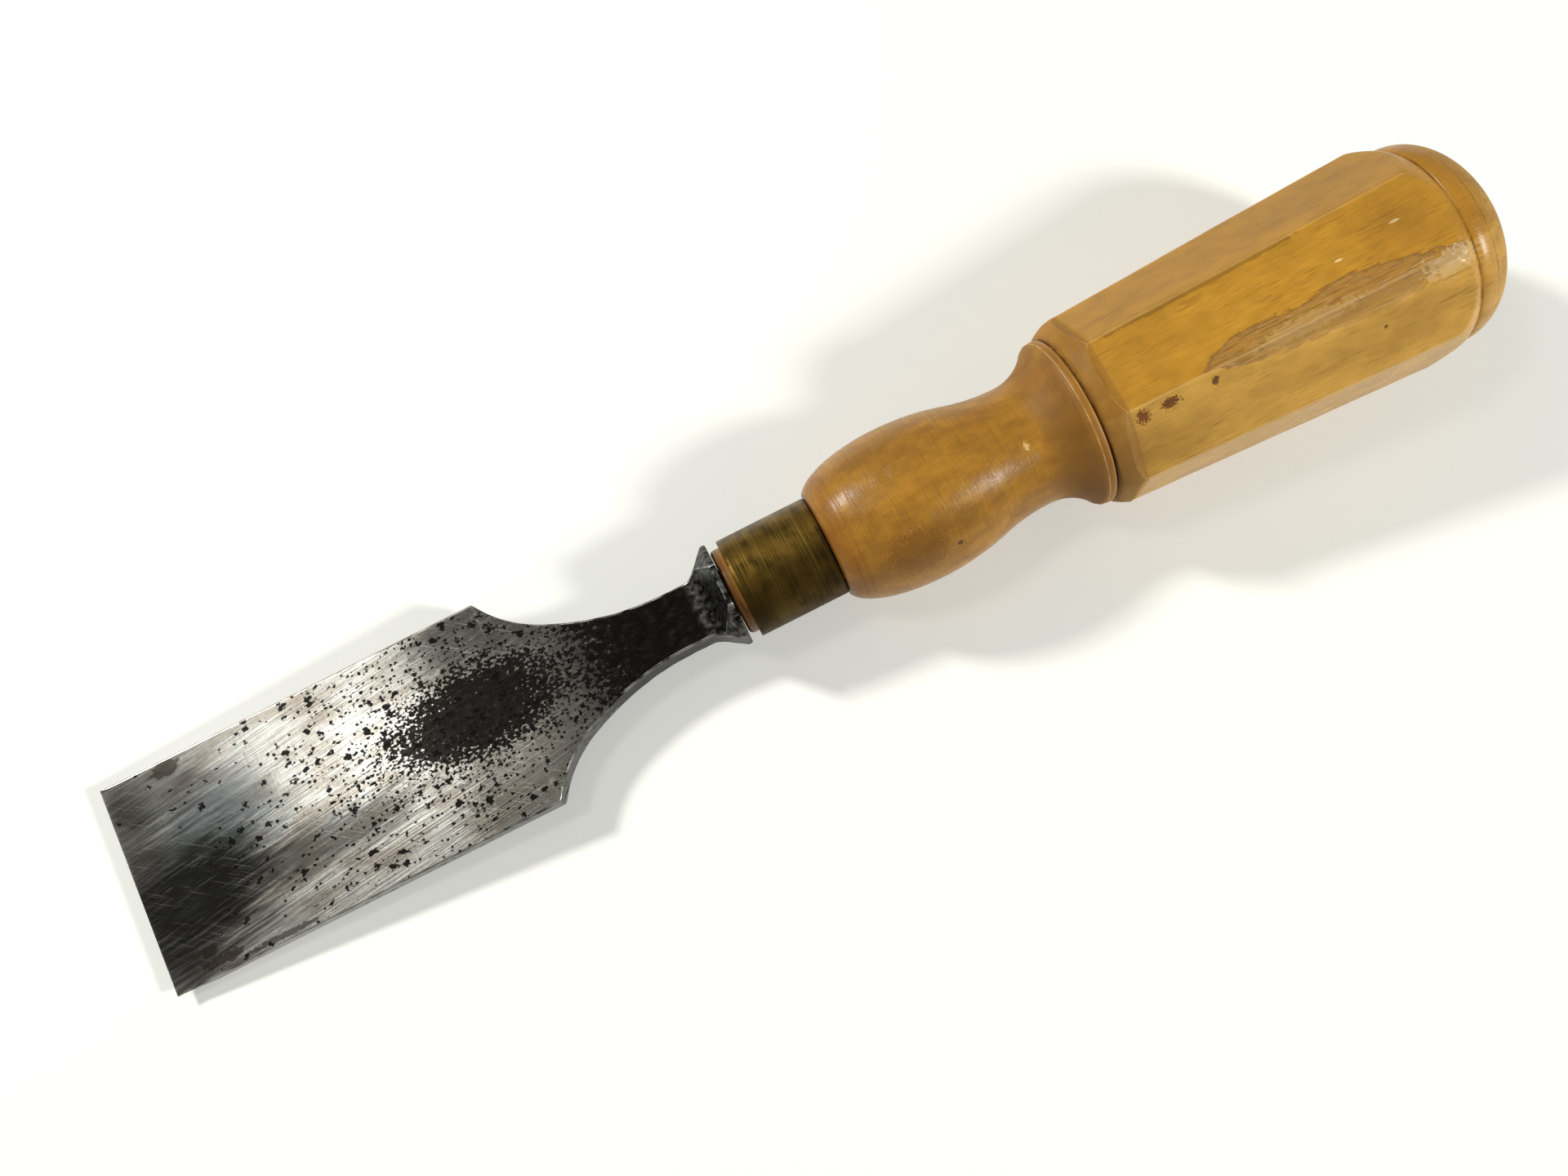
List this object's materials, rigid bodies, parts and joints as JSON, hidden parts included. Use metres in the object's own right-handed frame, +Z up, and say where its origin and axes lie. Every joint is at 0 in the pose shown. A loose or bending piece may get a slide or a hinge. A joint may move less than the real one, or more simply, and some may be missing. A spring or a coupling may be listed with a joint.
{
  "type": "firmer chisel",
  "caption": "Old London pattern firmer chisel: worn flat blade with a swept neck and eight-sided bolster, brass ferrule and a turned, faceted boxwood handle.",
  "frame": {"origin": "on the bench plane, under the middle of the tool's length and width as it lies with the flat back of the blade up", "axes": "+X along the bench from the cutting edge towards the butt of the handle, +Y to the left seen from the butt with the flat back up, +Z up"},
  "size_m": [0.2564, 0.0382, 0.0413],
  "materials": {
    "forged_steel": "old carbon steel, ground blade with fine lengthwise scratches and black pits, dark scale left on the neck and bolster",
    "aged_brass": "turned brass tube, tarnished to olive brown, with fine rings round it",
    "boxwood": "boxwood with an old amber polish, worn arrises and grime in the grooves"
  },
  "bodies": {
    "root": {"blade": "forged_steel", "ferrule": "aged_brass", "handle": "boxwood"}
  },
  "joints": []
}
